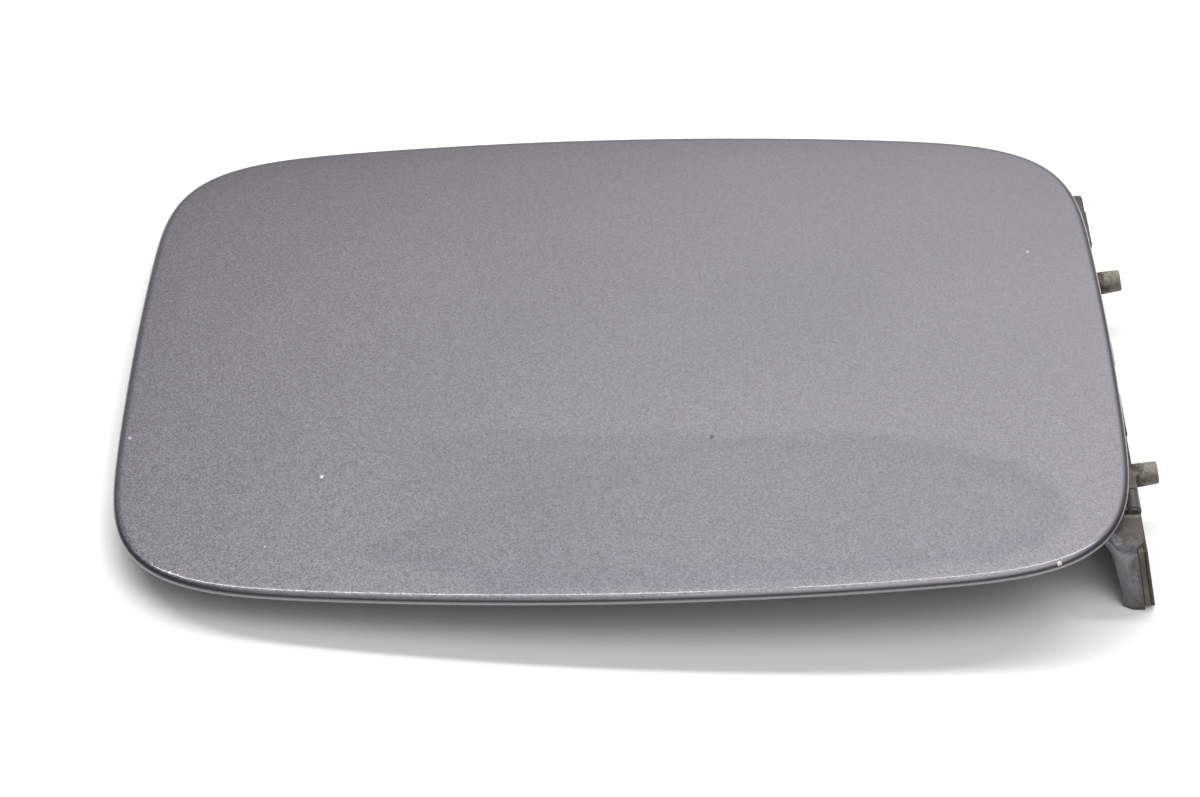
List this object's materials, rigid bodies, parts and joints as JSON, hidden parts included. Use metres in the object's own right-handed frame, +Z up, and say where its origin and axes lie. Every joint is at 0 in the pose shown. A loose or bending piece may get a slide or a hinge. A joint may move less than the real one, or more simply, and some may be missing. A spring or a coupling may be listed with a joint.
{
  "type": "car fuel door",
  "caption": "Crowned sheet metal fuel filler lid with a folded hem, on a pin hinge whose leaf fixes to the body with two nylon plugs.",
  "frame": {"origin": "on the surface that the part lies on, under the middle of its box", "axes": "+X from the latch edge to the hinge, +Y along the hinge, +Z up through the lid; the lid lies 3.8 degrees higher at its hinge"},
  "size_m": [0.2074, 0.15, 0.0238],
  "materials": {
    "metallic_paint": "grey metallic basecoat under clearcoat",
    "inner_paint": "thin satin overspray of the body colour",
    "bracket_paint": "body colour with orange peel, dirty",
    "leaf_steel": "dirty painted pressing with brown stains",
    "gasket": "dusty dark sealing strip",
    "rubber": "moulded, matte",
    "nylon": "natural nylon, aged and dusty",
    "plated_steel": "dull zinc plate",
    "spring_steel": "drawn wire, dull"
  },
  "bodies": {
    "leaf": {"hinge_leaf": "leaf_steel", "leaf_gasket": "gasket", "hinge_pin": "plated_steel", "hinge_spring": "spring_steel", "plug_front": "nylon", "plug_rear": "nylon", "plug_screw_front": "plated_steel", "plug_screw_rear": "plated_steel"},
    "lid": {"outer_skin": "metallic_paint", "inner_panel": "inner_paint", "hinge_bracket": "bracket_paint", "latch_striker": "plated_steel", "striker_rivets": "plated_steel", "buffer_front": "rubber", "buffer_rear": "rubber"}
  },
  "joints": [
    {"name": "lid_hinge", "type": "hinge", "parent": "leaf", "child": "lid", "pos_m": [0.09579, 0, 0.01702], "axis": [0, 1, 0], "range_deg": [0, 90], "deforming": ["hinge_spring"]}
  ]
}
